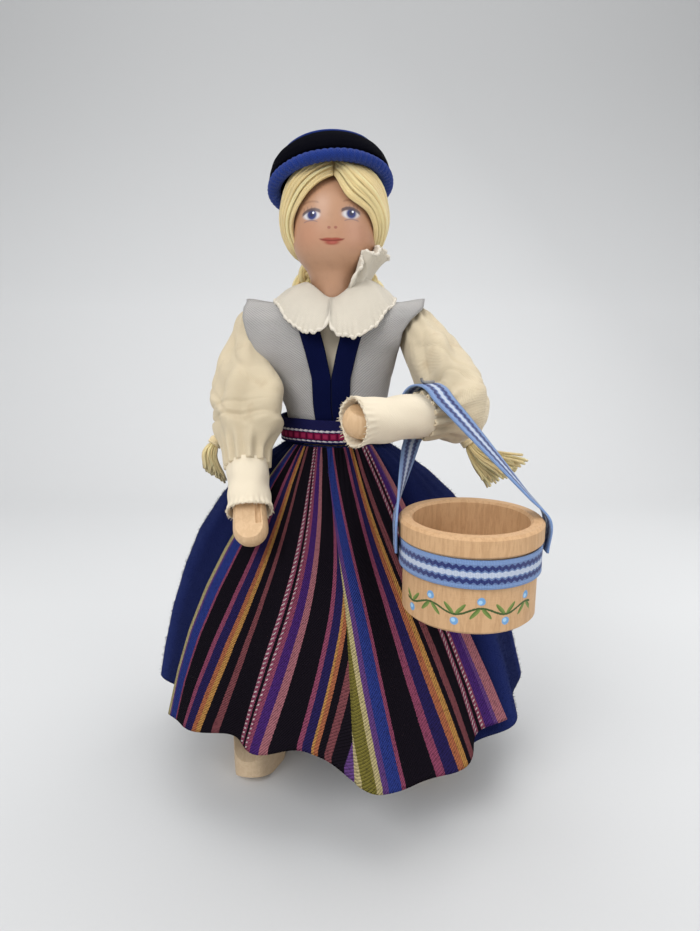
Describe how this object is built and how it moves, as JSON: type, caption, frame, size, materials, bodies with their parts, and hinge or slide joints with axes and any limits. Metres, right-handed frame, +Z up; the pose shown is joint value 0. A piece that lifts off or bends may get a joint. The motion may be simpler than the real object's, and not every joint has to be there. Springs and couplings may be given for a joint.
{
  "type": "doll",
  "caption": "Jointed wooden peg doll in folk dress: striped apron, full navy skirt, grey vest, puff sleeves, ruffled collar, blue cap, yellow plaits, clogs and a wooden bucket.",
  "frame": {"origin": "middle of the bounding box on the floor plane, under the skirt", "axes": "+Z up along the doll, the doll faces -Y, +X is the side of the arm with the bucket"},
  "size_m": [0.1063, 0.103, 0.172],
  "materials": {
    "body_wood": "plain turned beech, lightly oiled",
    "face_paint": "satin flesh paint on turned wood",
    "hair_floss": "pale yellow floss",
    "cap_wool": "royal blue wool and ribbed knit",
    "cap_velvet": "black velvet",
    "white_cotton": "off-white cotton with a worked edge",
    "cream_cotton": "cream plain-weave cotton",
    "grey_twill": "grey wool twill",
    "navy_braid": "navy ribbed braid",
    "woven_belt": "woven band, navy, white and magenta",
    "skirt_wool": "deep navy wool with a short pile",
    "apron_stripe": "warp-striped wool, black ground",
    "blue_ribbon": "woven ribbon, light blue with navy zigzag",
    "tie_thread": "cotton thread",
    "clog_wood": "pale carved wood",
    "pin_wire": "fine bent wire"
  },
  "bodies": {
    "doll": {"torso": "body_wood", "head": "face_paint", "shoulder_peg": "body_wood", "hip_peg": "body_wood", "hair": "hair_floss", "hat_crown": "cap_wool", "hat_band": "cap_velvet", "hat_roll": "cap_wool", "collar": "white_cotton", "blouse_front": "cream_cotton", "vest_back": "grey_twill", "right_vest_front": "grey_twill", "left_vest_front": "grey_twill", "right_vest_trim": "navy_braid", "left_vest_trim": "navy_braid", "belt": "woven_belt", "skirt": "skirt_wool", "apron": "apron_stripe", "right_plait": "hair_floss", "right_plait_tie": "tie_thread", "right_plait_tuft": "hair_floss", "left_plait": "hair_floss", "left_plait_tie": "tie_thread", "left_plait_tuft": "hair_floss"},
    "bucket_set": {"bucket": "body_wood", "bucket_band": "blue_ribbon", "bucket_handle": "blue_ribbon", "handle_pin": "pin_wire"},
    "right_upper_arm_set": {"right_upper_arm": "body_wood", "right_elbow_pin": "body_wood", "right_sleeve": "cream_cotton"},
    "right_forearm_set": {"right_forearm": "body_wood", "right_cuff": "cream_cotton"},
    "right_thigh_set": {"right_thigh": "body_wood", "right_knee_pin": "body_wood"},
    "right_shin_set": {"right_shin": "body_wood", "right_clog": "clog_wood"},
    "left_upper_arm_set": {"left_upper_arm": "body_wood", "left_elbow_pin": "body_wood", "left_sleeve": "cream_cotton"},
    "left_forearm_set": {"left_forearm": "body_wood", "left_cuff": "cream_cotton"},
    "left_thigh_set": {"left_thigh": "body_wood", "left_knee_pin": "body_wood"},
    "left_shin_set": {"left_shin": "body_wood", "left_clog": "clog_wood"}
  },
  "joints": [
    {"name": "right_shoulder", "type": "hinge", "parent": "doll", "child": "right_upper_arm_set", "pos_m": [-0.02275, 0.00595, 0.12421], "axis": [-1, 0, 0], "range_deg": [0, 90], "deforming": ["right_vest_front", "right_sleeve"]},
    {"name": "right_elbow", "type": "hinge", "parent": "right_upper_arm_set", "child": "right_forearm_set", "pos_m": [-0.02507, -0.00459, 0.09676], "axis": [-0.8634, -0.4424, 0.2426], "range_deg": [0, 70], "deforming": ["right_sleeve"]},
    {"name": "left_shoulder", "type": "hinge", "parent": "doll", "child": "left_upper_arm_set", "pos_m": [0.01965, 0.00595, 0.12421], "axis": [-1, 0, 0], "range_deg": [0, 45], "deforming": ["left_vest_front", "left_sleeve"]},
    {"name": "left_elbow", "type": "hinge", "parent": "left_upper_arm_set", "child": "left_forearm_set", "pos_m": [0.02803, -0.01334, 0.10353], "axis": [-0.3823, 0.5935, -0.7083], "range_deg": [-35, 9], "deforming": ["left_sleeve"]},
    {"name": "bucket_swing", "type": "hinge", "parent": "left_forearm_set", "child": "bucket_set", "pos_m": [0.02115, -0.01775, 0.10354], "axis": [-0.8415, -0.5403, 0.0016], "range_deg": [0, 35]},
    {"name": "right_hip", "type": "hinge", "parent": "doll", "child": "right_thigh_set", "pos_m": [-0.01195, 0.00595, 0.08421], "axis": [-1, 0, 0], "range_deg": [-15, 15]},
    {"name": "left_hip", "type": "hinge", "parent": "doll", "child": "left_thigh_set", "pos_m": [0.00885, 0.00595, 0.08421], "axis": [-1, 0, 0], "range_deg": [-15, 15]},
    {"name": "right_knee", "type": "hinge", "parent": "right_thigh_set", "child": "right_shin_set", "pos_m": [-0.01752, 0.00595, 0.0446], "axis": [0.9903, 0, -0.1392], "range_deg": [0, 40]},
    {"name": "left_knee", "type": "hinge", "parent": "left_thigh_set", "child": "left_shin_set", "pos_m": [0.01441, 0.00595, 0.0446], "axis": [0.9903, 0, 0.1392], "range_deg": [0, 40]}
  ]
}
